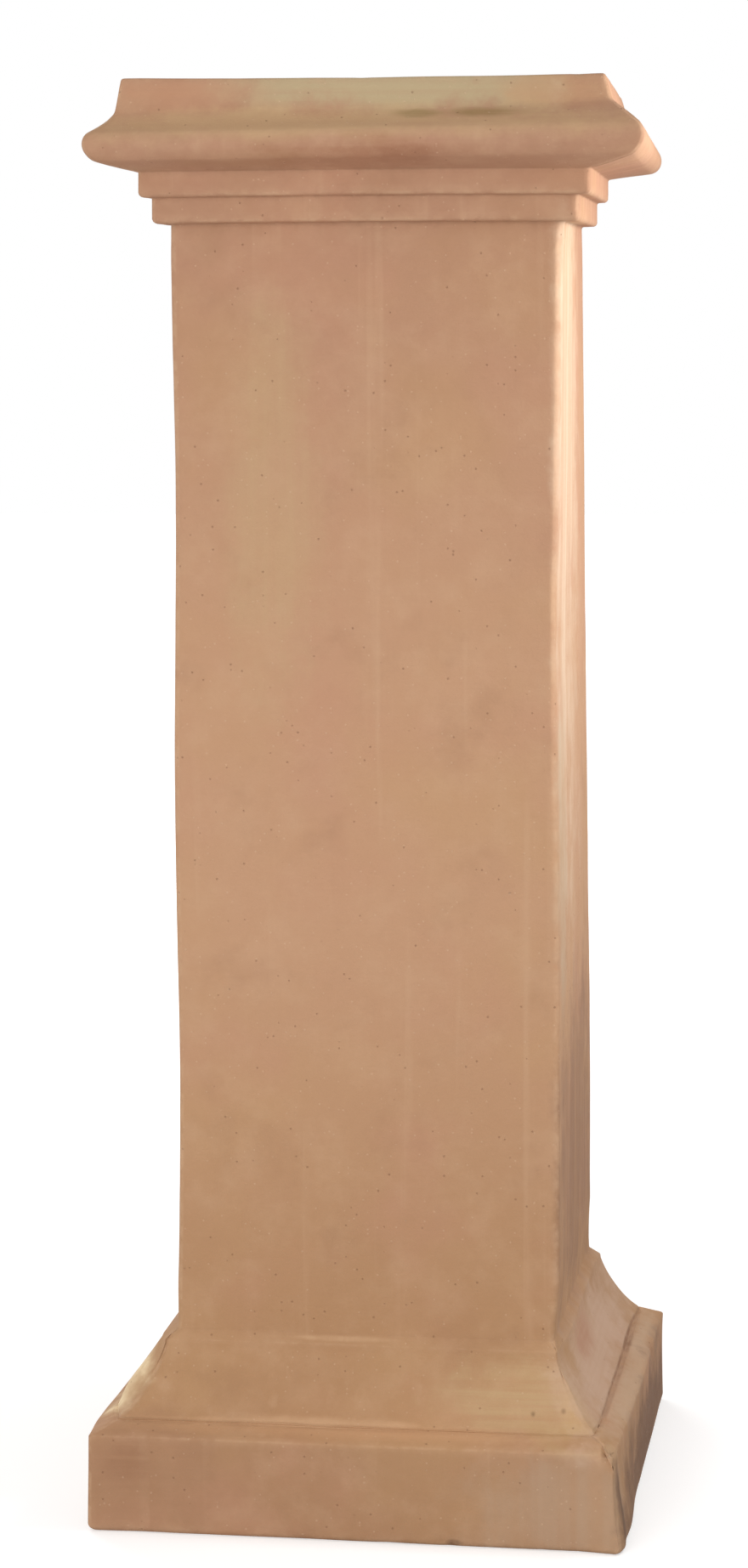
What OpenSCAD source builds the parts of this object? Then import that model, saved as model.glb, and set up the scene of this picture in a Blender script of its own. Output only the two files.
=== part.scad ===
// Square pedestal column in unglazed terracotta, for a garden urn or a bust.
// A moulded cap, a plain shaft and a moulded base on a plinth are pressed as one hollow
// piece, which is closed on top and open underneath. Cap and base stand slightly turned
// against each other, as the clay twisted while it dried.
// Millimetres, +Z up, origin at the centre of the underside.

/* [Overall] */
// Height of the column from the ground to its flat top
column_h = 1000; // [600:10:1500]
// Width of the plain shaft, the same on all four sides
shaft_w = 266; // [180:1:400]
// Radius of the shaft's four upright edges
shaft_edge_r = 4; // [1:0.5:12]
// How far the cap is turned against the base, in degrees, anticlockwise seen from above
twist = 3.2; // [0:0.1:4]

/* [Plinth] */
// How far the foot of the plinth stands out from the shaft
plinth_out = 53; // [42:0.5:80]
// Height of the plinth's upright face
plinth_h = 69; // [30:1:120]
// How far the plinth leans in from its foot to its upper edge
plinth_lean = 1; // [0.5:0.5:4]
// Radius of the plinth's upright edges and of its foot
plinth_edge_r = 5; // [1:0.5:10]

/* [Base moulding] */
// Width of the sloping ledge on the plinth
ledge_w = 17; // [8:0.5:24]
// Rise of the sloping ledge
ledge_h = 8; // [3:0.5:20]
// Radius of the groove between the ledge and the hollow sweep
groove_r = 1.5; // [0.5:0.5:3]
// Height of the hollow sweep
sweep_h = 46; // [25:1:80]
// Depth of the sweep, measured from the straight line between its two ends
sweep_depth = 5; // [2:0.5:8]
// How far the lip at the head of the sweep stands out from the shaft
lip_out = 7; // [3:0.5:12]
// Height of the lip's upright edge, under its bevel
lip_h = 3; // [1:0.5:8]

/* [Cap moulding] */
// How far the lower fillet stands out from the shaft
lower_fillet_out = 11; // [6:0.5:16]
// Height of the lower fillet
lower_fillet_h = 17.5; // [8:0.5:30]
// How far the upper fillet stands out from the lower one
upper_fillet_out = 8; // [4:0.5:12]
// Height of the upper fillet
upper_fillet_h = 17; // [8:0.5:30]
// Radius under each fillet
fillet_edge_r = 3; // [1:0.5:4]
// How far the nose of the roll stands out from the shaft
roll_out = 56; // [50:0.5:80]
// Radius of the roll's nose
roll_r = 11.5; // [8:0.5:13]
// Height of the roll's centre over the upper fillet
roll_rise = 16.5; // [13:0.5:20]
// Angle of the slope from the roll up to the top band, from level
roll_slope = 40; // [30:1:50]
// Radius of the cove between the slope and the top band
cove_r = 7; // [2:0.5:9]
// How far the top band's upper edge stands out from the shaft
top_out = 28.5; // [24:0.5:36]
// How far the top band flares from its upper to its lower edge
top_flare = 4.5; // [1:0.5:6]
// Height of the top band
top_band_h = 20; // [14:0.5:40]

/* [Hollow] */
// Thickness of the shaft's walls
wall = 26; // [16:1:40]
// Radius in the corners of the bore
bore_corner_r = 18; // [4:1:30]
// Thickness of the closed top
top_t = 34; // [20:1:45]
// Thickness of the plinth's walls at the ground
foot_wall = 30; // [20:1:40]
// Height of the straight mouth inside the plinth
mouth_h = 40; // [15:1:50]
// Height at which the mouth has narrowed to the bore
throat_z = 105; // [90:1:140]
// How far the chamber inside the cap is cut back from the bore
chamber_out = 22; // [5:1:26]
// Height of the chamber inside the cap, under the closed top
chamber_h = 32; // [10:1:40]

/* [Hidden] */

$fn = 96;
// Overlap that joins stacked parts, and the overrun of cuts through open ends
lap = 1;
terracotta = [0.74, 0.57, 0.45];

// Half widths, measured from the column's axis
shaft_x = shaft_w / 2;
plinth_x = shaft_x + plinth_out;
plinth_top_x = plinth_x - plinth_lean;
ledge_x = plinth_top_x - ledge_w;
lip_x = shaft_x + lip_out;
lower_fillet_x = shaft_x + lower_fillet_out;
upper_fillet_x = lower_fillet_x + upper_fillet_out;
roll_x = shaft_x + roll_out - roll_r;
top_x = shaft_x + top_out;
band_x = top_x + top_flare;
bore_x = shaft_x - wall;
mouth_x = plinth_x - foot_wall;
chamber_x = bore_x + chamber_out;
// The tapers of the mouth and the chamber run on this far inside the bore, so that they
// also die out against its round corners
inside_x = bore_x - bore_corner_r;

// Levels of the base, from the ground up
ledge_z = plinth_h + ledge_h;
sweep_z = ledge_z + sweep_h;
lip_z = sweep_z + lip_h;
base_z = lip_z + lip_out;
// The lip's bevel, at 45 degrees, runs on this far inside the shaft, which the twist needs
// near the corners
bevel_run = shaft_x * sin(twist) + lap;

// The slope leaves the roll at a tangent and climbs to the foot of the top band
slope_x = roll_x + roll_r * sin(roll_slope);
slope_rise = roll_r * cos(roll_slope);
band_rise = slope_rise + (slope_x - band_x) * tan(roll_slope);

// Levels of the cap, from the top down
band_z = column_h - top_band_h;
roll_z = band_z - band_rise;
upper_fillet_z = roll_z - roll_rise;
lower_fillet_z = upper_fillet_z - upper_fillet_h;
cap_z = lower_fillet_z - lower_fillet_h;
chamber_top_z = column_h - top_t;
chamber_z = chamber_top_z - chamber_h;

// Levels inside, where the two tapers end
mouth_steepness = (throat_z - mouth_h) / (mouth_x - bore_x);
mouth_end_z = mouth_h + (mouth_x - inside_x) * mouth_steepness;
chamber_end_z = chamber_z - (chamber_x - inside_x);

// Circle of the sweep: it passes through both ends of the chord, sweep_depth behind it
sweep_run = ledge_x - lip_x;
sweep_chord = norm([sweep_run, sweep_h]);
sweep_r = (pow(sweep_chord / 2, 2) + pow(sweep_depth, 2)) / (2 * sweep_depth);
sweep_normal = [sweep_h, sweep_run] / sweep_chord;
sweep_middle = [(ledge_x + lip_x) / 2, (ledge_z + sweep_z) / 2];
sweep_centre = sweep_middle + (sweep_r - sweep_depth) * sweep_normal;

// The underside of the roll touches the nose at a tangent from the upper fillet
under_vector = [roll_x - upper_fillet_x, roll_rise];
under_angle = atan2(under_vector[1], under_vector[0]) - asin(roll_r / norm(under_vector));
under_touch = [roll_x + roll_r * sin(under_angle), roll_z - roll_r * cos(under_angle)];

// Cove between the top band and the slope: where its circle touches both lines
band_angle = atan2(top_band_h, top_flare);
cove_half_turn = (band_angle - roll_slope) / 2;
cove_reach = cove_r * tan(cove_half_turn);
cove_corner = [band_x, band_z];
cove_on_band = cove_corner + cove_reach * [-cos(band_angle), sin(band_angle)];
cove_on_slope = cove_corner + cove_reach * [cos(roll_slope), -sin(roll_slope)];
cove_centre = cove_on_slope + cove_r * [sin(roll_slope), cos(roll_slope)];
cove_root = cove_corner - [lap, lap];

// A square of width w with round corners, about the axis
module rounded_square(w, r) {
    square([w - 2 * r, w], center = true);
    square([w, w - 2 * r], center = true);
    for (side = [-1, 1], end = [-1, 1])
        translate([side * (w / 2 - r), end * (w / 2 - r)])
            circle(r);
}

// A solid that has the child's outline on all four sides, mitred at the corners
module four_sided(w) {
    intersection() {
        rotate([90, 0, 0])
            linear_extrude(w, center = true)
                children();
        rotate([90, 0, 90])
            linear_extrude(w, center = true)
                children();
    }
}

// The child's half outline on both sides of the axis
module both_sides() {
    children();
    mirror([1, 0])
        children();
}

// A block from z0 up to z1 with a round lower edge, as a half outline
module soft_block(x, z0, z1, r) {
    translate([0, z0])
        square([x - r, r + lap]);
    translate([0, z0 + r])
        square([x, z1 - z0 - r]);
    translate([x - r, z0 + r])
        circle(r);
}

// The plinth, which leans in a little above its round foot
module plinth_outline() {
    square([plinth_x - plinth_edge_r, plinth_edge_r + lap]);
    translate([plinth_x - plinth_edge_r, plinth_edge_r])
        circle(plinth_edge_r);
    polygon([
        [0, plinth_edge_r],
        [plinth_x, plinth_edge_r],
        [plinth_top_x, plinth_h],
        [ledge_x, ledge_z],
        [0, ledge_z]
    ]);
}

// The hollow sweep from the ledge up to the lip, and the lip's bevel against the shaft
module sweep_outline() {
    difference() {
        translate([0, plinth_h])
            square([ledge_x, ledge_h + sweep_h + lap]);
        translate(sweep_centre)
            circle(sweep_r);
    }
    polygon([
        [0, sweep_z - lap],
        [lip_x, sweep_z - lap],
        [lip_x, lip_z],
        [shaft_x - bevel_run, base_z + bevel_run],
        [0, base_z + bevel_run]
    ]);
}

// The base: plinth, ledge, groove, sweep and lip
module base() {
    intersection() {
        four_sided(2 * plinth_x + lap)
            both_sides()
                difference() {
                    union() {
                        plinth_outline();
                        sweep_outline();
                    }
                    translate([ledge_x, ledge_z])
                        circle(groove_r);
                }
        linear_extrude(base_z + bevel_run)
            rounded_square(2 * plinth_x, plinth_edge_r);
    }
}

// The plain shaft, run into the base and the cap
module shaft() {
    translate([0, 0, plinth_h])
        linear_extrude(upper_fillet_z - plinth_h)
            rounded_square(shaft_w, shaft_edge_r);
}

// The roll, the slope above it, the cove and the flaring top band
module roll_outline() {
    translate([roll_x, roll_z])
        circle(roll_r);
    polygon([
        [0, upper_fillet_z],
        [upper_fillet_x, upper_fillet_z],
        under_touch,
        [roll_x, roll_z],
        [slope_x, roll_z + slope_rise],
        cove_corner,
        [top_x, column_h],
        [0, column_h]
    ]);
    difference() {
        polygon([cove_root, cove_on_slope, cove_centre, cove_on_band]);
        translate(cove_centre)
            circle(cove_r);
    }
}

// The cap: two square fillets, the roll and the top band
module cap() {
    four_sided(2 * (roll_x + roll_r) + lap)
        both_sides() {
            soft_block(lower_fillet_x, cap_z, lower_fillet_z + lap, fillet_edge_r);
            soft_block(upper_fillet_x, lower_fillet_z, upper_fillet_z + lap, fillet_edge_r);
            roll_outline();
        }
}

// The mouth in the plinth, narrowing up to the bore
module mouth() {
    four_sided(2 * mouth_x + lap)
        both_sides()
            polygon([
                [0, -lap],
                [mouth_x, -lap],
                [mouth_x, mouth_h],
                [inside_x, mouth_end_z],
                [0, mouth_end_z]
            ]);
}

// The bore, from the mouth up into the chamber
module bore() {
    translate([0, 0, mouth_h])
        linear_extrude(chamber_z + lap - mouth_h)
            rounded_square(2 * bore_x, bore_corner_r);
}

// The wider chamber in the cap, which opens out from the bore at 45 degrees
module chamber() {
    four_sided(2 * chamber_x + lap)
        both_sides()
            polygon([
                [0, chamber_end_z],
                [inside_x, chamber_end_z],
                [chamber_x, chamber_z],
                [chamber_x, chamber_top_z],
                [0, chamber_top_z]
            ]);
}

module column() {
    color(terracotta)
        difference() {
            union() {
                rotate([0, 0, -twist / 2])
                    base();
                shaft();
                rotate([0, 0, twist / 2])
                    cap();
            }
            rotate([0, 0, -twist / 2])
                mouth();
            bore();
            rotate([0, 0, twist / 2])
                chamber();
        }
}

column();
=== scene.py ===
"""Looks of the square terracotta pedestal column: one hollow piece of pressed clay, its light and camera.

Metres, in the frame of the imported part: +Z up, the front face towards -Y, the ground at Z = 0.
"""

import math

import bpy
import numpy as np
from mathutils import Matrix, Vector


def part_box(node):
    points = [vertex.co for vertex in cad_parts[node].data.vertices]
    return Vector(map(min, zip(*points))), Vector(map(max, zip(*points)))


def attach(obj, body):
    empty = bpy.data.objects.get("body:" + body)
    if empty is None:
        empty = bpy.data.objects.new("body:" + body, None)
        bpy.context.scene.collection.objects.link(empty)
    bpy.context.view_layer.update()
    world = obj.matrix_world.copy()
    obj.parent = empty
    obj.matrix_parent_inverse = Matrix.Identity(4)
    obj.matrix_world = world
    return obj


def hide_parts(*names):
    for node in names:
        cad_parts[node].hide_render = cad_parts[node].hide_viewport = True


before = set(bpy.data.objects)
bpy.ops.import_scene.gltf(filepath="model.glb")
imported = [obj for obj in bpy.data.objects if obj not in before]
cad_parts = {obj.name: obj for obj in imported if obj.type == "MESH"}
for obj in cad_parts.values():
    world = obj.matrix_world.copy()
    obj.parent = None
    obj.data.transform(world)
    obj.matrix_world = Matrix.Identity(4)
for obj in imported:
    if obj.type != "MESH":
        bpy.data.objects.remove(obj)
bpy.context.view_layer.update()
LOW, HIGH = (np.array(corner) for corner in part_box("column"))

# ---------------------------------------------------------------- sizes, as the part has them
# SHAFT, PLINTH, the fillets and TOP are half widths, measured out from the axis
MM = 0.001
COLUMN_H = HIGH[2]
# The clay twisted as it dried: the cap is turned by this against the base
TWIST = math.radians(3.2)
# Half width of the roll, from the box round the twisted part
ROLL_NOSE = HIGH[0] / (math.cos(TWIST / 2) + math.sin(TWIST / 2))

SHAFT = ROLL_NOSE - 56 * MM
SHAFT_EDGE_R = 4.5 * MM
CAP_EDGE_R = 2.6 * MM

PLINTH = SHAFT + 53 * MM
PLINTH_H = 69 * MM
PLINTH_LEAN = 1 * MM
PLINTH_EDGE_R = 5 * MM
PLINTH_UPRIGHT_R = 3.6 * MM
BASE_UPRIGHT_R = 3 * MM

LEDGE_W = 17 * MM
LEDGE_H = 8 * MM
SWEEP_H = 46 * MM
SWEEP_DEPTH = 5 * MM
LIP_OUT = 7 * MM
LIP_H = 3 * MM

LOWER_FILLET = SHAFT + 11 * MM
LOWER_FILLET_H = 17.5 * MM
UPPER_FILLET = LOWER_FILLET + 8 * MM
UPPER_FILLET_H = 17 * MM
FILLET_EDGE_R = 3 * MM
ROLL_R = 11.5 * MM
ROLL_RISE = 16.5 * MM
ROLL_SLOPE = math.radians(40)
COVE_R = 7 * MM
TOP = SHAFT + 28.5 * MM
TOP_FLARE = 4.5 * MM
TOP_BAND_H = 20 * MM

WALL = 26 * MM
BORE_CORNER_R = 18 * MM
TOP_T = 34 * MM
FOOT_WALL = 30 * MM
MOUTH_H = 40 * MM
THROAT_Z = 105 * MM
CHAMBER_OUT = 22 * MM
CHAMBER_H = 32 * MM

# Levels and half widths that follow from them
PLINTH_TOP = PLINTH - PLINTH_LEAN
LEDGE = PLINTH_TOP - LEDGE_W
LEDGE_Z = PLINTH_H + LEDGE_H
SWEEP_Z = LEDGE_Z + SWEEP_H
LIP = SHAFT + LIP_OUT
LIP_Z = SWEEP_Z + LIP_H
BASE_Z = LIP_Z + LIP_OUT

BAND = TOP + TOP_FLARE
BAND_Z = COLUMN_H - TOP_BAND_H
ROLL = ROLL_NOSE - ROLL_R
SLOPE_END = ROLL + ROLL_R * math.sin(ROLL_SLOPE)
ROLL_Z = BAND_Z - ROLL_R * math.cos(ROLL_SLOPE) - (SLOPE_END - BAND) * math.tan(ROLL_SLOPE)
UPPER_FILLET_Z = ROLL_Z - ROLL_RISE
LOWER_FILLET_Z = UPPER_FILLET_Z - UPPER_FILLET_H
CAP_Z = LOWER_FILLET_Z - LOWER_FILLET_H

BORE = SHAFT - WALL
MOUTH = PLINTH - FOOT_WALL
CHAMBER = BORE + CHAMBER_OUT
CHAMBER_TOP_Z = COLUMN_H - TOP_T
CHAMBER_Z = CHAMBER_TOP_Z - CHAMBER_H

# How finely the skin is divided
OUTER_STEP = 4.7 * MM
INNER_STEP = 16 * MM
LEVEL_STEP = 13 * MM
SHAFT_STEP = 8 * MM
ARC_STEP = 1.4 * MM
SIDE_STEPS = 60
CORNER_STEPS = 6
# Edges with a rounding over this count as less sharp, and so wear less
SHARP_R = 3.5 * MM


# ---------------------------------------------------------------- the section
def lines_meet(p, angle_p, q, angle_q):
    """Where the line through p at angle_p crosses the line through q at angle_q."""
    dp = np.array([math.cos(angle_p), math.sin(angle_p)])
    dq = np.array([math.cos(angle_q), math.sin(angle_q)])
    along, _ = np.linalg.solve(np.column_stack([dp, -dq]), np.subtract(q, p))
    return np.array(p) + along * dp


def sweep_arc(count=18):
    """The hollow sweep, an arc through its two ends, from the lip down to the ledge."""
    run = LEDGE - LIP
    chord = math.hypot(run, SWEEP_H)
    radius = ((chord / 2) ** 2 + SWEEP_DEPTH**2) / (2 * SWEEP_DEPTH)
    middle = np.array([(LEDGE + LIP) / 2, (LEDGE_Z + SWEEP_Z) / 2])
    centre = middle + (radius - SWEEP_DEPTH) * np.array([SWEEP_H, run]) / chord
    first = math.atan2(SWEEP_Z - centre[1], LIP - centre[0]) % math.tau
    last = math.atan2(LEDGE_Z - centre[1], LEDGE - centre[0]) % math.tau
    angles = np.linspace(first, last, count)
    return [centre + radius * np.array([math.cos(a), math.sin(a)]) for a in angles]


def outline():
    """Corners of the half section, down the outside and then up inside.

    Each is (out, up, rounding, longest step before it).
    """
    run = ROLL - UPPER_FILLET
    under = math.atan2(ROLL_RISE, run) - math.asin(ROLL_R / math.hypot(ROLL_RISE, run))
    nose = lines_meet((BAND, BAND_Z), -ROLL_SLOPE, (UPPER_FILLET, UPPER_FILLET_Z), under)
    middle = 1.5 * MM
    cap = [
        (middle, COLUMN_H, 0, LEVEL_STEP),
        (TOP, COLUMN_H, 1.8 * MM, LEVEL_STEP),
        (BAND, BAND_Z, COVE_R, OUTER_STEP),
        (nose[0], nose[1], ROLL_R, OUTER_STEP),
        (UPPER_FILLET, UPPER_FILLET_Z, 1.2 * MM, OUTER_STEP),
        (UPPER_FILLET, LOWER_FILLET_Z, FILLET_EDGE_R, OUTER_STEP),
        (LOWER_FILLET, LOWER_FILLET_Z, 1.2 * MM, OUTER_STEP),
        (LOWER_FILLET, CAP_Z, FILLET_EDGE_R, OUTER_STEP),
    ]
    shaft = [
        (SHAFT, CAP_Z, 1.5 * MM, OUTER_STEP),
        (SHAFT, BASE_Z, 1.8 * MM, SHAFT_STEP),
        (LIP, LIP_Z, 1.8 * MM, OUTER_STEP),
    ]
    sweep = [(x, z, 0, OUTER_STEP) for x, z in sweep_arc()[:-1]]
    groove = [
        (LEDGE - 1.6 * MM, LEDGE_Z + 1.0 * MM, 0.5 * MM, OUTER_STEP),
        (LEDGE - 0.4 * MM, LEDGE_Z - 1.5 * MM, 0.5 * MM, OUTER_STEP),
        (LEDGE + 1.9 * MM, LEDGE_Z - 0.8 * MM, 0.6 * MM, OUTER_STEP),
    ]
    plinth = [
        (PLINTH_TOP, PLINTH_H, 2.0 * MM, OUTER_STEP),
        (PLINTH, 0.0, PLINTH_EDGE_R, OUTER_STEP),
        (MOUTH, 0.0, 4 * MM, OUTER_STEP),
    ]
    hollow = [
        (MOUTH, MOUTH_H, 14 * MM, INNER_STEP),
        (BORE, THROAT_Z, 14 * MM, INNER_STEP),
        (BORE, CHAMBER_Z - CHAMBER_OUT, 8 * MM, INNER_STEP),
        (CHAMBER, CHAMBER_Z, 8 * MM, INNER_STEP),
        (CHAMBER, CHAMBER_TOP_Z, 10 * MM, INNER_STEP),
        (middle, CHAMBER_TOP_Z, 0, INNER_STEP),
    ]
    return cap + shaft + sweep + groove + plinth + hollow


def rounded(corners):
    """The outline with its corners rounded, as rows of (out, up, bend, step).

    bend is over 0 on an outward edge and under 0 in a crease.
    """
    rows = [(corners[0][0], corners[0][1], 0.0, corners[0][3])]
    for before, here, after in zip(corners, corners[1:], corners[2:]):
        corner = np.array(here[:2])
        back, on = np.array(before[:2]) - corner, np.array(after[:2]) - corner
        back_len, on_len = np.linalg.norm(back), np.linalg.norm(on)
        back, on = back / back_len, on / on_len
        half = math.acos(np.clip(back @ on, -1, 1)) / 2
        outward = math.copysign(1, back[0] * on[1] - back[1] * on[0])
        if here[2] <= 0:
            rows.append((*corner, 0.0, here[3]))
            continue
        reach = min(here[2] / math.tan(half), 0.48 * back_len, 0.48 * on_len)
        radius = reach * math.tan(half)
        middle = (back + on) / np.linalg.norm(back + on)
        centre = corner + middle * math.hypot(reach, radius)
        a0 = math.atan2(*(corner + back * reach - centre)[::-1])
        a1 = math.atan2(*(corner + on * reach - centre)[::-1])
        turn = (a1 - a0 + math.pi) % math.tau - math.pi
        count = max(3, round(abs(turn) * radius / ARC_STEP))
        sharp = min(1.0, SHARP_R / radius) * math.cos(half)
        for k in range(count + 1):
            a = a0 + turn * k / count
            fade = math.sin(math.pi * (0.15 + 0.7 * k / count))
            x, z = centre[0] + radius * math.cos(a), centre[1] + radius * math.sin(a)
            rows.append((x, z, outward * sharp * fade, here[3]))
    rows.append((corners[-1][0], corners[-1][1], 0.0, corners[-1][3]))
    return rows


def section():
    """The levels of the skin as columns out, up, bend and inside (1 in the hollow)."""
    rows = rounded(outline())
    levels = [rows[0][:3]]
    for a, b in zip(rows, rows[1:]):
        count = max(1, math.ceil(math.hypot(b[0] - a[0], b[1] - a[1]) / b[3]))
        for k in range(1, count + 1):
            t = k / count
            levels.append((a[0] + (b[0] - a[0]) * t, a[1] + (b[1] - a[1]) * t, b[2] if k == count else 0.0))
    levels = np.array(levels)
    foot = np.flatnonzero((levels[:, 1] < 0.1 * MM) & (levels[:, 0] < MOUTH + FOOT_WALL / 2))[0]
    inside = (np.arange(len(levels)) > foot).astype(float)
    return np.column_stack([levels, inside])


# ---------------------------------------------------------------- the plan
def side_stops():
    """Places along a side from -1 to 1, closer together towards its ends."""
    t = np.linspace(-1, 1, SIDE_STEPS + 1)
    return 0.5 * t + 0.5 * np.sin(t * math.pi / 2)


def plan_ring():
    """One turn round a square, seen from above: its core, its outward directions and 1 in its corners."""
    core, normal, edge = [], [], []
    quarter_turn = np.array([[0, -1], [1, 0]])
    for quarter in range(4):
        spin = np.linalg.matrix_power(quarter_turn, quarter)
        for t in side_stops()[:-1]:
            core.append(spin @ (t, -1))
            normal.append(spin @ (0, -1))
            edge.append(0.0)
        for k in range(CORNER_STEPS):
            a = -math.pi / 2 + math.pi / 2 * k / CORNER_STEPS
            core.append(spin @ (1, -1))
            normal.append(spin @ (math.cos(a), math.sin(a)))
            edge.append(math.sin(math.pi * (0.1 + 0.8 * k / CORNER_STEPS)))
    return np.array(core), np.array(normal), np.array(edge)


def plan_radius(out, up, inside):
    """Rounding of the upright edges at each level."""
    levels = [0, PLINTH_H, LEDGE_Z, BASE_Z - 2 * MM, BASE_Z + 6 * MM, CAP_Z - 2 * MM, CAP_Z, COLUMN_H]
    radii = [PLINTH_UPRIGHT_R] + [BASE_UPRIGHT_R] * 3 + [SHAFT_EDGE_R] * 2 + [CAP_EDGE_R] * 2
    outer = np.interp(up, levels, radii)
    return np.minimum(np.where(inside > 0, BORE_CORNER_R, outer), 0.5 * out)


# ---------------------------------------------------------------- the hand of the maker
NOISE_GRID = 48


def noise(points, cell, seed):
    """Smooth random heights from -1 to 1, with bumps about one cell across."""
    heights = np.random.default_rng(seed).uniform(-1, 1, (NOISE_GRID,) * 3)
    place = points / cell
    whole = np.floor(place).astype(int)
    part = place - whole
    part = part * part * (3 - 2 * part)
    total = np.zeros(points.shape[:-1])
    for corner in np.ndindex(2, 2, 2):
        share = np.prod(np.where(np.array(corner) == 1, part, 1 - part), axis=-1)
        at = (whole + corner) % NOISE_GRID
        total += share * heights[at[..., 0], at[..., 1], at[..., 2]]
    return total


def bump(value, middle, width):
    """1 at the middle, about a third a width away on either side, and falling smoothly on to 0."""
    return np.exp(-(((value - middle) / width) ** 2))


def swelling(z, amount, middle, width):
    """A swelling of so many mm at one height."""
    return amount * bump(z, middle, width)


def near(points, centre, radius):
    """1 at the centre, falling smoothly to 0 a radius away."""
    gap = np.linalg.norm(points - np.array(centre), axis=-1) / radius
    t = np.clip(1 - gap, 0, 1)
    return t**2 * (3 - 2 * t)


def faded(value, low, high):
    """0 up to low, 1 from high on, smooth between."""
    t = np.clip((value - low) / (high - low), 0, 1)
    return t * t * (3 - 2 * t)


def sides(points):
    """How far each point stands out from the axis, and how far right and how far back it lies, -1 to 1."""
    x, y = points[..., 0], points[..., 1]
    reach = np.maximum(np.maximum(abs(x), abs(y)), 1 * MM)
    return reach, x / reach, y / reach


# How far the cap's overhang is out of true in mm: all round, and more to the right, to the back and to both
OVERHANG_ALL, OVERHANG_RIGHT, OVERHANG_BACK, OVERHANG_BOTH = -1.6, 1.6, 1.3, -0.3
# How much the roll rises to the right and falls to the back, in mm
ROLL_RISES, ROLL_FALLS = 1.5, 2.5
# How low the line of the band lies on the left, and how much it gains to the right, in mm
BAND_LOW, BAND_GAINS = 3.5, 6.5
# How far the top edge sags in the middle of the front and of the back, in mm
TOP_SAGS = 1.3


def settle_cap(points, outer):
    """How far the points of the cap stand out of true, away from the axis and upwards."""
    reach, u, v = sides(points)
    z = points[..., 2]
    overhang = outer * faded(reach, TOP, ROLL_NOSE) * (z > UPPER_FILLET_Z - 1 * MM)
    push = overhang * (OVERHANG_ALL + OVERHANG_RIGHT * u + OVERHANG_BACK * v + OVERHANG_BOTH * u * v) * MM
    nose = faded(z, UPPER_FILLET_Z, ROLL_Z - 6 * MM) * (1 - faded(z, ROLL_Z + 6 * MM, BAND_Z - 2 * MM))
    band = faded(z, ROLL_Z + 4 * MM, BAND_Z - 4 * MM) * (1 - faded(z, BAND_Z + 4 * MM, COLUMN_H))
    lift = nose * (ROLL_RISES * u - ROLL_FALLS * v) + band * (BAND_GAINS * ((1 + u) / 2) ** 3 - BAND_LOW)
    sag = TOP_SAGS * faded(z, BAND_Z, COLUMN_H) * (1 - np.minimum(reach * abs(u), TOP) ** 2 / TOP**2)
    return push, outer * (lift - sag) * MM


# The shaft's left outline in mm: a wave with a crest at one height, drawn in, and a swelling over the base
WAVE, WAVE_CREST, WAVE_LENGTH = 0.8, 0.51, 0.385
LEFT_IN = 0.4
LEFT_SWELLS = (1.6, 0.14, 0.035)
# Its right outline in mm: at the front drawn in, widening downwards and dented, at the back out and widening
FRONT_IN, FRONT_WIDENS = 1.6, 4.8
FRONT_DENT = (1.2, 0.635, 0.05)
BACK_OUT, BACK_WIDENS = 0.5, 1.8


def settle_shaft(points, outer):
    """How far the left and the right side of the shaft stand out of true, away from the axis."""
    _, u, v = sides(points)
    z = points[..., 2]
    on_shaft = outer * np.clip((z - BASE_Z) / (40 * MM), 0, 1) * np.clip((CAP_Z - z) / (20 * MM), 0, 1)
    wave = WAVE * np.cos(math.tau * (z - WAVE_CREST) / WAVE_LENGTH)
    left = wave - LEFT_IN + swelling(z, *LEFT_SWELLS)
    right_front = FRONT_WIDENS * faded(-z, -0.64, -0.25) - FRONT_IN - swelling(z, *FRONT_DENT)
    right_back = BACK_OUT + BACK_WIDENS * faded(-z, -0.8, -0.4)
    right = right_front + (right_back - right_front) * (1 + v) / 2
    return on_shaft * np.where(u < 0, left * faded(-u, 0.9, 1), right * faded(u, 0.9, 1)) * MM


# From this place across on, a point lies on the side and not on the next one
ON_SIDE = 0.97
# How far the lip gives way on the front and at the front of the right side
LIP_GIVES = 4.4 * MM
# Swellings of the base, as (amount in mm, height of the middle and width up and down in metres)
RIGHT_CORNER_FOOT = (3.0, 0.0, 0.03)
RIGHT_CORNER_LEDGE = (-3.0, 0.088, 0.014)
RIGHT_FOOT = (3.4, 0.0, 0.03)
LEFT_SWEEP = (12.0, 0.104, 0.028)
LEFT_SWEEP_FRONT = (6.0, 0.090, 0.016)
LEFT_CORNER_SWEEP = (2.5, 0.104, 0.026)
BACK_CORNER_SWEEP = (4.0, 0.1, 0.03)
# How much the front left corner stands out from the ledge down, in mm
LEFT_CORNER_PLINTH = 1.5
# How far the plinth's right side leans in at the front, and how much of its front edge is worn off, in mm
RIGHT_LEANS, RIGHT_EDGE_WORN = 4.6, 2.8


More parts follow.
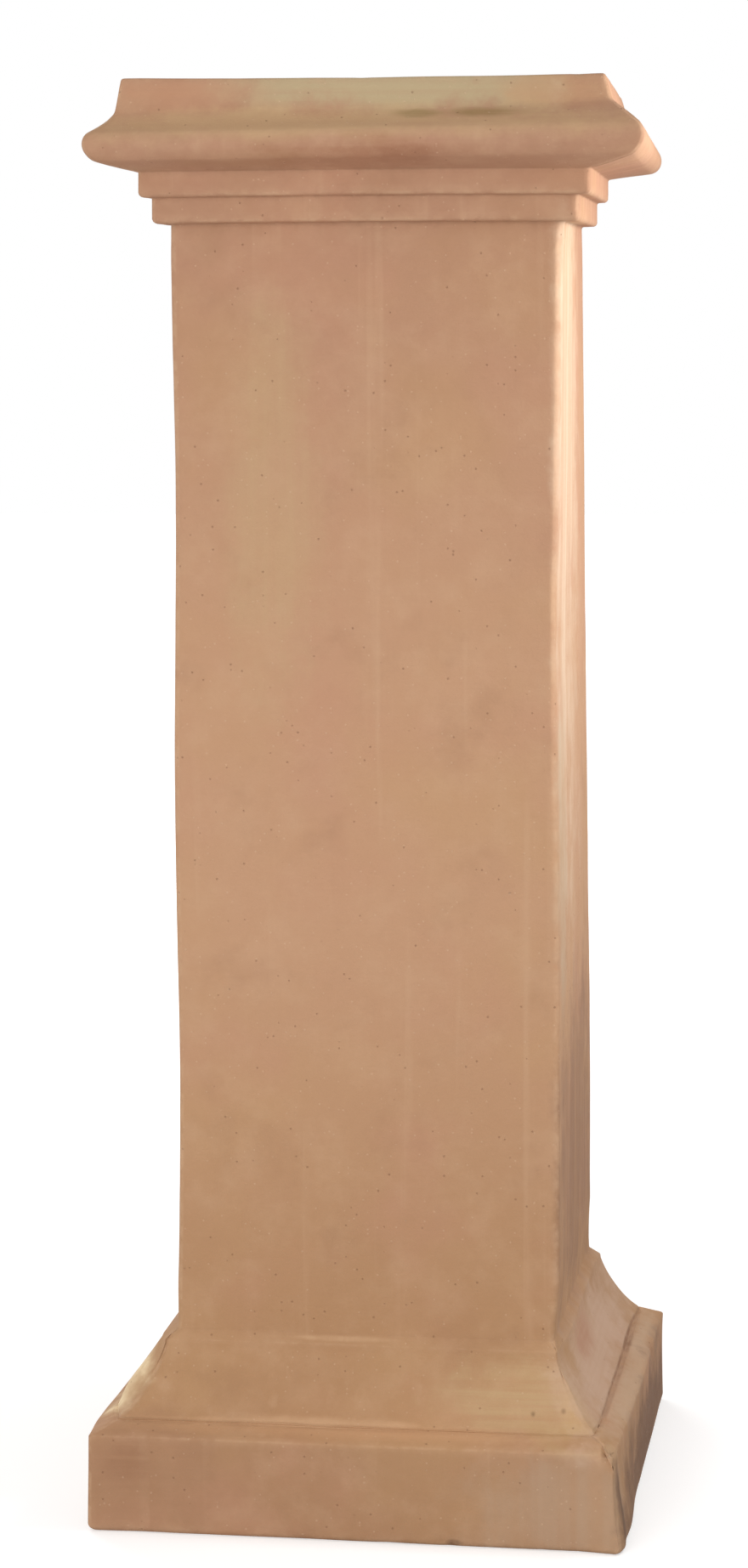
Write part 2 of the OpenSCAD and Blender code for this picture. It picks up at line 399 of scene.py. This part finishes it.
def fuller_base(u, v, z):
    """How far the base stands out of true along the diagonals and on its sides, in mm."""
    right = faded(u, ON_SIDE, 1)
    right_corner = faded(u, 0.84, 1) * faded(-v, 0.84, 1)
    left_corner = faded(-u, 0.80, 1) * faded(-v, 0.80, 1)
    left_side = faded(-u, ON_SIDE, 1) * (1 - faded(-v, 0.80, 1.0))
    back_corner = faded(u, 0.70, 1) * faded(v, 0.70, 1)
    rubbed = right_corner * (swelling(z, *RIGHT_CORNER_FOOT) + swelling(z, *RIGHT_CORNER_LEDGE))
    sagged = swelling(z, *LEFT_SWEEP) + bump(v, -0.8, 0.35) * swelling(z, *LEFT_SWEEP_FRONT)
    full = left_side * sagged + back_corner * swelling(z, *BACK_CORNER_SWEEP)
    below_ledge = LEFT_CORNER_PLINTH * faded(-z, -0.09, -0.06)
    full = full + left_corner * (swelling(z, *LEFT_CORNER_SWEEP) + below_ledge)
    full = full + right * bump(v, -0.72, 0.24) * swelling(z, *RIGHT_FOOT)
    return rubbed + full


def right_lean(v, z):
    """How far the plinth's right side leans in towards the front, with a worn edge at the foot, in mm."""
    leans = RIGHT_LEANS * np.clip(-v, 0, 1) * faded(z, -10 * MM, 64 * MM)
    worn = RIGHT_EDGE_WORN * faded(-v, 0.93, 1) * faded(-z, -60 * MM, -10 * MM)
    return (leans + worn) * (1 - faded(z, PLINTH_H, PLINTH_H + 13 * MM))


def settle_base(points, outer):
    """Moves of the base in X, in Y and away from the axis."""
    _, u, v = sides(points)
    z = points[..., 2]
    front, right = faded(-v, ON_SIDE, 1), faded(u, ON_SIDE, 1)
    lip = outer * faded(z, LIP_Z - 30 * MM, LIP_Z - 6 * MM) * (1 - faded(z, LIP_Z, BASE_Z)) * LIP_GIVES
    move_x = -right * faded(-v, 0.5, 1) * lip - outer * right * right_lean(v, z) * MM
    return move_x, front * lip, outer * fuller_base(u, v, z) * MM


def settle(points, inside):
    """The slow bends of the whole piece."""
    outer = 1 - inside
    _, u, v = sides(points)
    cap_push, lift = settle_cap(points, outer)
    move_x, move_y, base_push = settle_base(points, outer)
    out = cap_push + base_push
    x = points[..., 0] + out * u + np.sign(u) * settle_shaft(points, outer) + move_x
    y = points[..., 1] + out * v + move_y
    return np.stack([x, y, points[..., 2] + lift], axis=-1)


def twisted(points):
    """The points turned about the axis, from half the twist back at the foot to half on at the top."""
    turn = TWIST * (points[..., 2] / COLUMN_H - 0.5)
    x, y = points[..., 0], points[..., 1]
    c, s = np.cos(turn), np.sin(turn)
    return np.stack([x * c - y * s, x * s + y * c, points[..., 2]], axis=-1)


# Marks of use as (place before the column is twisted, radius, depth)
MARKS = [
    ((0.066, -0.187, 0.003), 7 * MM, 3.5 * MM),
    ((0.118, -0.164, 0.088), 5 * MM, 1.2 * MM),
    ((0.139, -0.162, 0.088), 6 * MM, 1.8 * MM),
    ((0.131, -0.160, 0.092), 4 * MM, 1.0 * MM),
    ((0.181, -0.181, 0.068), 12 * MM, 4.0 * MM),
    ((0.170, -0.184, 0.071), 9 * MM, 2.0 * MM),
    ((0.187, -0.120, 0.070), 11 * MM, 1.8 * MM),
    ((0.187, -0.040, 0.071), 9 * MM, 1.2 * MM),
    ((0.186, 0.090, 0.069), 13 * MM, 2.4 * MM),
    ((-0.186, 0.130, 0.069), 12 * MM, 2.8 * MM),
    ((-0.187, -0.020, 0.004), 9 * MM, 3.0 * MM),
    ((-0.090, 0.187, 0.069), 10 * MM, 2.2 * MM),
    ((0.120, 0.190, 0.955), 12 * MM, 1.6 * MM),
    ((-0.190, 0.060, 0.957), 11 * MM, 1.6 * MM),
    ((0.163, 0.160, 0.998), 11 * MM, 2.6 * MM),
]


# Waviness of the outside and of the pressed inside, as (height in mm, size of a bump in metres, seed)
WAVINESS = [(0.55, 0.15, 1), (0.22, 0.05, 2), (0.07, 0.016, 3)]
PRESSED = [(2.2, 0.045, 7), (0.8, 0.018, 8)]
# How deep edges are rubbed off and nicked
RUBBED, NICKED = 0.5 * MM, 3.2 * MM
# How many mm the creases are filled with clay, all round and further in the foot's front
FILLED, FILLED_FRONT = 0.1, 2.1
# The crumbled front right corner of the ledge, as (place, radius), and its roughness
CRUMBLED = ((0.168, -0.172, 0.080), 0.055)
CRUMBS = 1.6 * MM


def waves(points, table):
    """Sum of the noises of a table."""
    return sum(height * MM * noise(points, cell, seed) for height, cell, seed in table)


def relief(points, wear, crease, inside):
    """Height of the surface over its smooth form, from waves, wear, nicks, marks and the pressed inside."""
    _, _, v = sides(points)
    front_foot = faded(-v, ON_SIDE, 1) * (points[..., 2] < SWEEP_Z)
    rubbed = -RUBBED * wear * (1 + noise(points, 0.03, 4))
    nicks = -NICKED * wear * np.clip(noise(points, 0.012, 5) - 0.58, 0, 1)
    filled = (FILLED + FILLED_FRONT * front_foot) * MM * crease * (1 + 0.6 * noise(points, 0.025, 6))
    marks = sum(-depth * near(points, place, radius) for place, radius, depth in MARKS)
    crumbled = CRUMBS * near(points, *CRUMBLED) * noise(points, 0.009, 9)
    outside = waves(points, WAVINESS) + rubbed + nicks + filled + marks + crumbled
    return (1 - inside) * outside + inside * waves(points, PRESSED)


def surface_normals(points):
    """Outward directions of a grid of points whose second axis runs right round."""
    down = np.gradient(points, axis=0)
    around = np.roll(points, -1, axis=1) - np.roll(points, 1, axis=1)
    normals = np.cross(down, around)
    return normals / np.maximum(np.linalg.norm(normals, axis=-1, keepdims=True), 1e-12)


# How much the upright edges are worn, of 1, and how much of the dirt and painted shade is taken out of the
# foot's front creases
UPRIGHT_WEAR, FRONT_CREASE_SHADE_CUT = 0.8, 0.9


def make_column():
    """The whole skin of the column as one closed mesh, with its worn edges and its creases as attributes."""
    out, up, bend, hollow = section().T
    core, normal, edge = plan_ring()
    radius = plan_radius(out, up, hollow)
    flat = (out - radius)[:, None, None] * core + radius[:, None, None] * normal
    points = np.dstack([flat, np.broadcast_to(up[:, None], flat.shape[:2])])

    inside = np.broadcast_to(hollow[:, None], points.shape[:2])
    upright = (up > 1 * MM) & (up < COLUMN_H - 1 * MM)
    upright_wear = UPRIGHT_WEAR * edge[None, :] * upright[:, None]
    wear = np.maximum(np.clip(bend, 0, 1)[:, None], upright_wear) * (1 - inside)
    crease = np.broadcast_to(np.clip(-bend, 0, 1)[:, None], inside.shape)
    front_foot_area = faded(-sides(points)[2], ON_SIDE, 1) * (points[..., 2] < SWEEP_Z)

    points = settle(points, inside)
    points = points + surface_normals(points) * relief(points, wear, crease, inside)[..., None]
    points = np.clip(twisted(points), LOW, HIGH)

    levels, turns = points.shape[:2]
    verts = [tuple(p) for p in points.reshape(-1, 3)]
    top_middle, roof_middle = len(verts), len(verts) + 1
    verts += [tuple(points[0].mean(0)), tuple(points[-1].mean(0))]
    faces = []
    for i in range(levels - 1):
        for j in range(turns):
            k = (j + 1) % turns
            faces.append((i * turns + j, (i + 1) * turns + j, (i + 1) * turns + k, i * turns + k))
    last = (levels - 1) * turns
    for j in range(turns):
        k = (j + 1) % turns
        faces.append((top_middle, j, k))
        faces.append((roof_middle, last + k, last + j))

    mesh = bpy.data.meshes.new("column_skin")
    mesh.from_pydata(verts, [], faces)
    # Dirt and painted shade in the creases, with less of it in the foot's front creases
    crease_dirt_and_shade = crease * (1 - FRONT_CREASE_SHADE_CUT * front_foot_area)
    for name, values, roof_value in (("wear", wear, 0), ("crease", crease_dirt_and_shade, 0), ("inside", inside, 1)):
        attribute = mesh.attributes.new(name, "FLOAT", "POINT")
        attribute.data.foreach_set("value", np.append(values.ravel(), [0, roof_value]).astype(np.float32))
    mesh.polygons.foreach_set("use_smooth", [True] * len(mesh.polygons))
    mesh.update()
    piece = bpy.data.objects.new("column_skin", mesh)
    bpy.context.scene.collection.objects.link(piece)
    return piece


# ---------------------------------------------------------------- the clay
def srgb(r, g, b):
    """A colour given as 0 to 255 per channel on screen, as Blender's linear values."""
    shares = (r / 255, g / 255, b / 255)
    return tuple(c / 12.92 if c <= 0.04045 else ((c + 0.055) / 1.055) ** 2.4 for c in shares) + (1.0,)


class Nodes:
    """A short way to write a material's nodes."""

    def __init__(self, material):
        material.use_nodes = True
        self.tree = material.node_tree
        self.tree.nodes.clear()

    def add(self, kind, **settings):
        node = self.tree.nodes.new(kind)
        for name, value in settings.items():
            setattr(node, name, value)
        return node

    def feed(self, node, values):
        for key, value in values.items():
            if isinstance(value, bpy.types.NodeSocket):
                self.tree.links.new(value, node.inputs[key])
            else:
                node.inputs[key].default_value = value
        return node

    def math(self, operation, a, b=0.0, clamp=False):
        node = self.add("ShaderNodeMath", operation=operation, use_clamp=clamp)
        return self.feed(node, {0: a, 1: b}).outputs[0]

    def vector(self, operation, a, b=(0, 0, 0)):
        node = self.feed(self.add("ShaderNodeVectorMath", operation=operation), {0: a, 1: b})
        return node.outputs["Value" if operation == "LENGTH" else "Vector"]

    def noise(self, place, scale, detail=3.0, roughness=0.55):
        node = self.add("ShaderNodeTexNoise")
        self.feed(node, {"Vector": place, "Scale": scale, "Detail": detail, "Roughness": roughness})
        return node.outputs["Fac"]

    def ramp(self, value, low, high, to_low=0.0, to_high=1.0):
        node = self.add("ShaderNodeMapRange", interpolation_type="SMOOTHSTEP")
        ends = {"From Min": low, "From Max": high, "To Min": to_low, "To Max": to_high}
        return self.feed(node, {"Value": value, **ends}).outputs["Result"]

    def mix(self, amount, a, b, blend="MIX"):
        node = self.add("ShaderNodeMix", data_type="RGBA", blend_type=blend)
        return self.feed(node, {0: amount, 6: a, 7: b}).outputs[2]

    def attribute(self, name):
        return self.add("ShaderNodeAttribute", attribute_name=name).outputs["Fac"]


# Colours of the clay, judged
CLAY_MIDDLE = srgb(192, 149, 117)
# Painted shade: the clay made darker towards the top, under the cap
CLAY_TOP_SHADE = srgb(177, 134, 107)
CLAY_FOOT = srgb(176, 135, 99)
CLAY_PLINTH = srgb(169, 129, 96)
PALE_CLAY = srgb(205, 168, 136)
PINK_CLAY = srgb(190, 140, 115)
OCHRE_CLAY = srgb(190, 150, 108)
DARK_PORE = srgb(128, 90, 66)
PALE_GRAIN = srgb(220, 186, 156)
# Dirt in random patches, and painted shade in the creases and the hollow
DIRT_AND_SHADE = srgb(142, 103, 77)

# How the colour changes with height, as (height where it starts, height where it is whole, colour): darker
# towards the top as painted shade under the cap, darker towards the foot, and the plinth's clay
CLAY_BY_HEIGHT = [(0.55, 0.97, CLAY_TOP_SHADE), (0.46, 0.10, CLAY_FOOT), (0.0715, 0.0645, CLAY_PLINTH)]

# Soft patches as (shift of the noise, scale, detail, roughness, its values where they start and are whole,
# strength, colour)
PATCHES = [
    ((0, 0, 0), 6.5, 3.0, 0.55, (0.42, 0.72), 0.35, OCHRE_CLAY),
    ((3.1, 1.7, 0.4), 9.0, 3.0, 0.55, (0.45, 0.75), 0.40, PINK_CLAY),
    ((0, 0, 0), 34.0, 4.0, 0.62, (0.40, 0.75), 0.22, PALE_CLAY),
    ((0.6, 2.9, 1.3), 17.0, 4.0, 0.6, (0.50, 0.80), 0.22, DIRT_AND_SHADE),
]

# Stains as (centre, half widths, colour, strength, how much level streaks break it up)
STAINS = [
    # pale khaki bloom and orange end of the cap's top band
    ((0.035, -0.165, 0.994), (0.150, 0.05, 0.026), srgb(189, 170, 134), 0.9, 0.2),
    ((-0.120, -0.165, 0.990), (0.06, 0.05, 0.016), srgb(194, 146, 114), 0.5, 0.3),
    ((0.140, -0.160, 0.990), (0.05, 0.05, 0.016), srgb(194, 149, 112), 0.6, 0.3),
    # olive tint of the slope under it, with two darker streaks
    ((-0.010, -0.178, 0.969), (0.26, 0.05, 0.015), srgb(200, 165, 124), 0.7, 0.3),
    ((0.045, -0.172, 0.9745), (0.022, 0.04, 0.004), srgb(150, 124, 82), 0.7, 0.6),
    ((0.084, -0.172, 0.9750), (0.034, 0.04, 0.0045), srgb(146, 118, 76), 0.8, 0.6),
    # reddish brown stain on the roll
    ((0.010, -0.188, 0.950), (0.090, 0.05, 0.013), srgb(166, 119, 92), 0.8, 0.5),
    ((0.044, -0.188, 0.947), (0.036, 0.05, 0.009), srgb(156, 110, 84), 0.6, 0.5),
    ((-0.075, -0.186, 0.946), (0.06, 0.05, 0.009), srgb(168, 126, 94), 0.5, 0.6),
    # pale streaks high on the left of the shaft's front
    ((-0.062, -0.134, 0.720), (0.040, 0.05, 0.17), srgb(193, 162, 124), 0.5, 0.0),
    # plinth: darker left end, blotch, grey wiped right end
    ((-0.160, -0.188, 0.045), (0.085, 0.05, 0.055), srgb(164, 124, 94), 0.75, 0.2),
    ((-0.163, -0.188, 0.050), (0.022, 0.05, 0.022), srgb(148, 106, 79), 0.4, 0.6),
    ((0.145, -0.188, 0.030), (0.085, 0.06, 0.055), srgb(179, 148, 121), 0.75, 0.0),
    ((0.178, -0.180, 0.068), (0.020, 0.02, 0.014), srgb(204, 168, 132), 0.8, 0.5),
    # yellow bloom at the right end of the front's sweep
    ((0.112, -0.155, 0.096), (0.066, 0.05, 0.032), srgb(190, 160, 120), 0.7, 0.7),
    ((0.147, -0.160, 0.095), (0.014, 0.03, 0.040), srgb(192, 154, 98), 0.8, 0.5),
    ((0.150, -0.172, 0.076), (0.045, 0.04, 0.012), srgb(186, 153, 108), 0.7, 0.6),
    ((0.158, -0.180, 0.0735), (0.030, 0.03, 0.0040), srgb(166, 122, 80), 0.8, 0.3),
    ((0.176, -0.176, 0.0790), (0.010, 0.02, 0.0050), srgb(216, 184, 146), 0.9, 0.5),
    # lighter upper part of the front's ledge, partly painted light that lifts the groove's shade
    ((-0.010, -0.171, 0.0752), (0.200, 0.04, 0.0050), srgb(194, 150, 112), 0.7, 0.2),
    # pale scratches along the front's groove and a light line in the crease over the sweep
    ((-0.040, -0.172, 0.0785), (0.085, 0.04, 0.0045), srgb(200, 160, 124), 0.7, 0.9),
    ((-0.020, -0.137, 0.1300), (0.055, 0.03, 0.0026), srgb(202, 163, 127), 0.7, 0.0),
    # painted light: the upper part of the shaft's right side made paler, as if brightly lit
    ((0.135, -0.050, 0.760), (0.010, 0.13, 0.40), srgb(216, 190, 163), 0.75, 0.0),
    ((0.135, -0.100, 0.470), (0.010, 0.05, 0.13), srgb(190, 166, 138), 0.6, 0.0),
    # right sweep, grey pink and made paler as painted light from above, with a brown patch, and its pale
    # ledge
    ((0.158, -0.020, 0.100), (0.045, 0.26, 0.050), srgb(202, 169, 145), 0.85, 0.2),
    ((0.148, -0.030, 0.110), (0.035, 0.060, 0.018), srgb(176, 126, 98), 0.65, 0.4),
    ((0.180, 0.000, 0.0725), (0.020, 0.26, 0.007), srgb(196, 165, 136), 0.8, 0.3),
    # painted shade: the plinth's right side darkened
    ((0.190, 0.000, 0.022), (0.020, 0.32, 0.056), srgb(122, 92, 72), 0.95, 0.1),
    # painted shade: dark groove along the right ledge, dark front edge of the plinth's right side, dark foot
    # of the shaft's right side
    ((0.169, 0.010, 0.0772), (0.014, 0.24, 0.0018), srgb(142, 104, 78), 0.9, 0.0),
    ((0.1810, -0.1775, 0.030), (0.0120, 0.0125, 0.070), srgb(112, 84, 65), 1.0, 0.0),
    ((0.135, 0.000, 0.240), (0.010, 0.22, 0.150), srgb(148, 112, 88), 0.8, 0.0),
    # cream bloom on the left mitre of the base, with painted light making it paler
    ((-0.174, -0.118, 0.103), (0.025, 0.070, 0.046), srgb(250, 226, 184), 1.0, 0.0),
    # dark pits at the front right of the base and a nick in the foot's edge
    ((0.118, -0.164, 0.088), (0.0026, 0.010, 0.0024), srgb(110, 84, 60), 0.8, 0.0),
    ((0.139, -0.162, 0.090), (0.0026, 0.010, 0.0026), srgb(124, 94, 68), 0.6, 0.0),
    ((0.066, -0.187, 0.003), (0.0060, 0.010, 0.0030), srgb(104, 76, 56), 0.8, 0.0),
    # plainer marks of the same kind on the other sides
    ((0.060, 0.190, 0.985), (0.11, 0.05, 0.022), srgb(186, 162, 120), 0.6, 0.3),
    ((-0.190, 0.030, 0.955), (0.05, 0.09, 0.014), srgb(168, 122, 94), 0.6, 0.5),
    ((0.190, 0.060, 0.958), (0.05, 0.10, 0.014), srgb(172, 130, 98), 0.5, 0.5),
    ((-0.040, 0.187, 0.035), (0.12, 0.05, 0.045), srgb(166, 128, 98), 0.7, 0.2),
    ((-0.187, 0.050, 0.030), (0.05, 0.13, 0.045), srgb(176, 146, 118), 0.6, 0.2),
    ((0.030, 0.134, 0.520), (0.060, 0.05, 0.22), srgb(194, 162, 126), 0.4, 0.0),
    ((0.040, 0.030, 1.000), (0.120, 0.10, 0.020), srgb(184, 158, 118), 0.7, 0.0),
]


def stain_mask(n, place, ragged, centre, widths):
    """1 in the middle of a stain with a ragged soft edge, 0 outside."""
    offset = n.vector("DIVIDE", n.vector("SUBTRACT", place, centre), widths)
    distance = n.math("ADD", n.vector("LENGTH", offset), ragged)
    return n.ramp(distance, 1.10, 0.30)


def clay_colour(n, place, masks):
    """Colour of the clay, built up from its ground to stains, pores, grains, rubbed edges, and dirt with
    painted shade in the creases and the hollow.
    """
    height = n.feed(n.add("ShaderNodeSeparateXYZ"), {0: place}).outputs["Z"]
    colour = CLAY_MIDDLE
    for start, whole, clay in CLAY_BY_HEIGHT:
        colour = n.mix(n.ramp(height, start, whole), colour, clay)

    for shift, scale, detail, roughness, ends, strength, tint in PATCHES:
        patches = n.ramp(n.noise(n.vector("ADD", place, shift), scale, detail, roughness), *ends)
        colour = n.mix(n.math("MULTIPLY", patches, strength), colour, tint)
    colour = n.mix(n.math("MULTIPLY", masks["wipes"], 0.26), colour, PALE_CLAY)

    ragged = n.math("MULTIPLY", n.math("SUBTRACT", n.noise(place, 26.0, 4.0, 0.65), 0.5), 1.5)
    for centre, widths, stain, strength, streaky in STAINS:
        mask = stain_mask(n, place, ragged, centre, widths)
        broken = n.ramp(masks["runs"], 0.30, 0.62, 1.0 - streaky, 1.0) if streaky else masks["wiped"]
        colour = n.mix(n.math("MULTIPLY", n.math("MULTIPLY", mask, broken), strength), colour, stain)

    for mask, strength, tint in (
        ("pores", 0.40, DARK_PORE),
        ("grains", 0.25, PALE_GRAIN),
        ("worn", 0.55, PALE_CLAY),
        ("dirt_and_crease_shade", 0.50, DIRT_AND_SHADE),
    ):
        colour = n.mix(n.math("MULTIPLY", masks[mask], strength), colour, tint)
    return colour


def dots(n, place, scale, size, share):
    """Small round dots in a share of the cells of a random pattern."""
    node = n.feed(n.add("ShaderNodeTexVoronoi"), {"Vector": place, "Scale": scale})
    draw = n.feed(n.add("ShaderNodeSeparateColor"), {0: node.outputs["Color"]}).outputs[0]
    chosen = n.math("LESS_THAN", draw, share)
    return n.math("MULTIPLY", n.ramp(node.outputs["Distance"], size, size * 0.4), chosen)


def terracotta():
    """Unglazed clay, pressed in a mould and wiped with a wet hand."""
    material = bpy.data.materials.new("terracotta")
    n = Nodes(material)
    place = n.add("ShaderNodeTexCoord").outputs["Object"]
    wear, crease, inside = (n.attribute(name) for name in ("wear", "crease", "inside"))

    grain = n.noise(place, 420.0, 3.0, 0.6)
    coarse = n.noise(place, 75.0, 4.0, 0.6)
    runs = n.noise(n.vector("MULTIPLY", place, (7.0, 7.0, 230.0)), 1.0, 3.0)
    upright = n.noise(n.vector("MULTIPLY", place, (70.0, 70.0, 2.6)), 1.0, 3.0)
    pores = dots(n, place, 260.0, 0.24, 0.05)
    grains = dots(n, n.vector("ADD", place, (0.3, 0.7, 0.2)), 300.0, 0.30, 0.10)
    worn = n.math("MULTIPLY", wear, n.ramp(coarse, 0.38, 0.62))
    # Painted shade: the creases and the hollow inside are darkened, broken up by noise like dirt
    crease_and_hollow_shade = n.math("MAXIMUM", crease, n.math("MULTIPLY", inside, 0.5))
    dirt_and_crease_shade = n.math("MULTIPLY", crease_and_hollow_shade, n.ramp(coarse, 0.25, 0.75))
    masks = {
        "wipes": n.ramp(upright, 0.56, 0.78),
        "wiped": n.ramp(upright, 0.36, 0.62, 0.55, 1.0),
        "runs": runs,
        "pores": pores,
        "grains": grains,
        "worn": worn,
        "dirt_and_crease_shade": dirt_and_crease_shade,
    }
    colour = clay_colour(n, place, masks)

    height = n.math("MULTIPLY", grain, 0.45)
    for part, share in ((coarse, 0.9), (runs, 0.35), (upright, 0.25), (grains, 0.25), (pores, -0.9)):
        height = n.math("ADD", height, n.math("MULTIPLY", part, share))
    bumps = n.feed(n.add("ShaderNodeBump"), {"Strength": 0.6, "Distance": 0.9 * MM, "Height": height})

    values = {
        "Base Color": colour,
        "Roughness": n.ramp(coarse, 0.3, 0.7, 0.80, 0.92),
        "Specular IOR Level": 0.2,
        "Normal": bumps.outputs["Normal"],
    }
    shader = n.feed(n.add("ShaderNodeBsdfPrincipled"), values)
    output = n.add("ShaderNodeOutputMaterial")
    n.tree.links.new(shader.outputs["BSDF"], output.inputs["Surface"])
    return material


# ---------------------------------------------------------------- floor, light and camera
def seen_directly(n):
    """1 for rays that show a background: from the camera, off a gloss or through glass."""
    rays = n.add("ShaderNodeLightPath")
    seen = n.math("MAXIMUM", rays.outputs["Is Camera Ray"], rays.outputs["Is Glossy Ray"])
    return n.math("MAXIMUM", seen, rays.outputs["Is Transmission Ray"])


# The floor: its half width, its grey and how much light it adds near the column and far from it
FLOOR_REACH = 12.0
FLOOR_GREY = (0.75, 0.75, 0.75, 1)
FLOOR_NEAR, FLOOR_FAR = 0.6, 3.2
GLOW_NEAR, GLOW_FAR = 0.46, 0.78


def make_floor():
    """A wide pale floor that looks white where no shadow falls on it."""
    mesh = bpy.data.meshes.new("floor")
    corners = [(x * FLOOR_REACH, y * FLOOR_REACH, 0) for x, y in ((-1, -1), (1, -1), (1, 1), (-1, 1))]
    mesh.from_pydata(corners, [], [(0, 1, 2, 3)])
    floor = bpy.data.objects.new("floor", mesh)
    bpy.context.scene.collection.objects.link(floor)
    material = bpy.data.materials.new("pale_floor")
    n = Nodes(material)
    shader = n.feed(n.add("ShaderNodeBsdfDiffuse"), {"Color": FLOOR_GREY})
    away = n.vector("LENGTH", n.add("ShaderNodeTexCoord").outputs["Object"])
    lift = n.ramp(away, FLOOR_NEAR, FLOOR_FAR, GLOW_NEAR, GLOW_FAR)
    glow = n.feed(n.add("ShaderNodeEmission"), {"Strength": n.math("MULTIPLY", seen_directly(n), lift)})
    both = n.feed(n.add("ShaderNodeAddShader"), {0: shader.outputs[0], 1: glow.outputs[0]})
    output = n.add("ShaderNodeOutputMaterial")
    n.tree.links.new(both.outputs[0], output.inputs["Surface"])
    mesh.materials.append(material)


# Strength of the even light from all round
SOFT_LIGHT = 0.50


def make_world():
    """Even white light from all round, and plain white behind the column."""
    world = bpy.data.worlds.new("studio")
    bpy.context.scene.world = world
    n = Nodes(world)
    soft = n.feed(n.add("ShaderNodeBackground"), {"Color": (1, 1, 1, 1), "Strength": SOFT_LIGHT})
    plain = n.feed(n.add("ShaderNodeBackground"), {"Color": (1, 1, 1, 1), "Strength": 1.0})
    shaders = {1: soft.outputs[0], 2: plain.outputs[0]}
    both = n.feed(n.add("ShaderNodeMixShader"), {0: seen_directly(n), **shaders})
    output = n.add("ShaderNodeOutputWorld")
    n.tree.links.new(both.outputs[0], output.inputs["Surface"])


def aimed(place, target, roll=0.0):
    """A transform at place whose -Z looks at target."""
    ahead = np.subtract(target, place)
    ahead = ahead / np.linalg.norm(ahead)
    right = np.cross(ahead, (0, 0, 1))
    right = right / np.linalg.norm(right)
    up = np.cross(right, ahead)
    turned = math.cos(roll) * right + math.sin(roll) * up
    rows = np.column_stack([turned, np.cross(turned, ahead), -ahead])
    return Matrix.Translation(place) @ Matrix(rows.tolist()).to_4x4()


# Square lamps as (name, place, where it aims, width, power in watts)
LAMPS = [
    ("front", (-0.9, -3.4, 1.1), (0, 0, 0.5), 2.0, 60),
    ("right", (0.62, -0.10, 0.92), (0.13, -0.02, 0.78), 0.3, 4.0),
    ("back", (-1.6, 2.6, 1.5), (0, 0, 0.5), 2.0, 45),
]


def soft_lamp(name, place, target, width, power):
    """A square lamp that throws soft shadows."""
    lamp = bpy.data.lights.new(name, "AREA")
    lamp.size = width
    lamp.energy = power
    holder = bpy.data.objects.new(name, lamp)
    bpy.context.scene.collection.objects.link(holder)
    holder.matrix_world = aimed(place, target)
    holder.visible_camera = False


# Where the camera stands, as shares of the column's height, and where it looks
CAMERA_PLACE = np.array([0.3313, -2.6624, 0.855])
CAMERA_YAW = math.radians(-7.32)
CAMERA_PITCH = math.radians(-7.43)
CAMERA_ROLL = math.radians(-0.34)
CAMERA_LENS = 85.93


def make_camera():
    """The photographer's place: a little to the right of the front, below the cap, looking slightly down."""
    camera = bpy.data.cameras.new("camera")
    camera.lens = CAMERA_LENS
    camera.sensor_width = 36
    holder = bpy.data.objects.new("camera", camera)
    bpy.context.scene.collection.objects.link(holder)
    place = CAMERA_PLACE * COLUMN_H
    level = math.cos(CAMERA_PITCH)
    ahead = np.array([math.sin(CAMERA_YAW) * level, math.cos(CAMERA_YAW) * level, math.sin(CAMERA_PITCH)])
    holder.matrix_world = aimed(place, place + ahead, CAMERA_ROLL)
    bpy.context.scene.camera = holder


def main():
    make_camera()
    column = make_column()
    column.data.materials.append(terracotta())
    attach(column, "root")
    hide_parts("column")
    make_floor()
    make_world()
    for lamp in LAMPS:
        soft_lamp(*lamp)
    bpy.context.scene.view_settings.view_transform = "Standard"


main()
